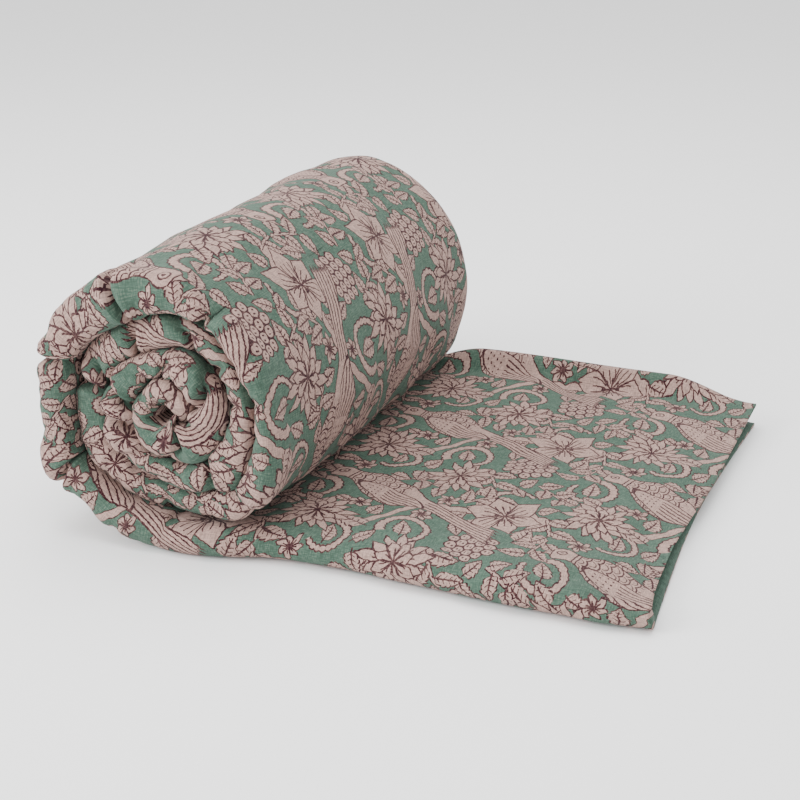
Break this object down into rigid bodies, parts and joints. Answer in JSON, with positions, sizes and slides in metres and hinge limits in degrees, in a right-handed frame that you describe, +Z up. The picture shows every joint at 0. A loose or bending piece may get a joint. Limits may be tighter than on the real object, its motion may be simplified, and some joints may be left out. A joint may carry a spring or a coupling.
{
  "type": "bed runner",
  "caption": "Padded cotton bed runner folded in half lengthwise and rolled up, with a flat tail lying on the surface and an all-over bird and flower print.",
  "frame": {"origin": "middle of the footprint, on the surface the runner lies on", "axes": "+X along the flat tail, away from the roll; +Y along the roll's axis, from the folded edge to the open sewn edges; +Z up"},
  "size_m": [0.5978, 0.5252, 0.2684],
  "materials": {
    "printed_cotton": "matt woven cotton, block printed in pinkish beige and dark plum on green, plain grey-green on the reverse"
  },
  "bodies": {
    "root": {"quilt": "printed_cotton"}
  },
  "joints": []
}
